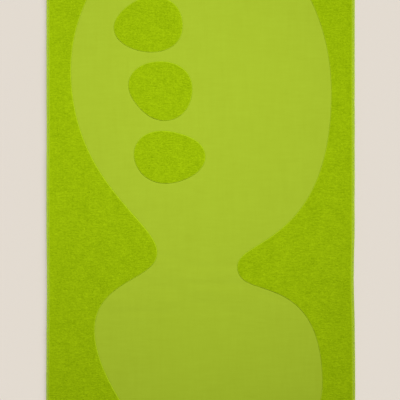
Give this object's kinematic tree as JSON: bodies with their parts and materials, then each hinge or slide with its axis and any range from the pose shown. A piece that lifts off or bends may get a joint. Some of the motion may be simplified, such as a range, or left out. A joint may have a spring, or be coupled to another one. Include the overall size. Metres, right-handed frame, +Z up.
{
  "type": "quick dry towel",
  "caption": "Flat rectangular terry towel with a smooth woven hourglass, raised pile pebbles, hems, a tape hanging loop and a blank label.",
  "frame": {"origin": "middle of the underside, the face of the back pile that the towel lies on", "axes": "+X across the width to the right of the front face, +Y along the length towards the head edge with the hanging loop, +Z up out of the front face"},
  "size_m": [0.8, 1.6909, 0.0092],
  "materials": {
    "terry_pile": "lime green looped cotton-blend terry, matt and finely mottled",
    "flat_weave": "lighter yellow-green flat jacquard weave, smooth and matt",
    "hem_cloth": "flat woven hem cloth in the weave's light green, folded twice",
    "sewing_thread": "pale lime polyester sewing thread with a soft sheen",
    "loop_tape": "lime herringbone woven tape",
    "label_ribbon": "blank off-white satin ribbon"
  },
  "bodies": {
    "towel": {"ground_cloth": "flat_weave", "back_pile": "terry_pile", "front_pile_field": "terry_pile", "hourglass_weave": "flat_weave", "pile_pebble_1": "terry_pile", "pile_pebble_2": "terry_pile", "pile_pebble_3": "terry_pile", "pile_pebble_4": "terry_pile", "left_side_hem": "hem_cloth", "right_side_hem": "hem_cloth", "head_hem": "hem_cloth", "foot_hem": "hem_cloth", "left_side_hem_stitching": "sewing_thread", "right_side_hem_stitching": "sewing_thread", "head_hem_stitching": "sewing_thread", "foot_hem_stitching": "sewing_thread", "hang_loop_tail": "loop_tape", "hang_loop_bartack": "sewing_thread", "care_label_tail": "label_ribbon", "care_label_stitching": "sewing_thread"},
    "hang_loop": {"hang_loop": "loop_tape"},
    "care_label": {"care_label": "label_ribbon"}
  },
  "joints": [
    {"name": "loop_swing", "type": "hinge", "parent": "towel", "child": "hang_loop", "pos_m": [0, 0.803, 0.00194], "axis": [1, 0, 0], "range_deg": [0, 120]},
    {"name": "label_flip", "type": "hinge", "parent": "towel", "child": "care_label", "pos_m": [-0.25, -0.803, 0.00194], "axis": [-1, 0, 0], "range_deg": [0, 150]}
  ]
}
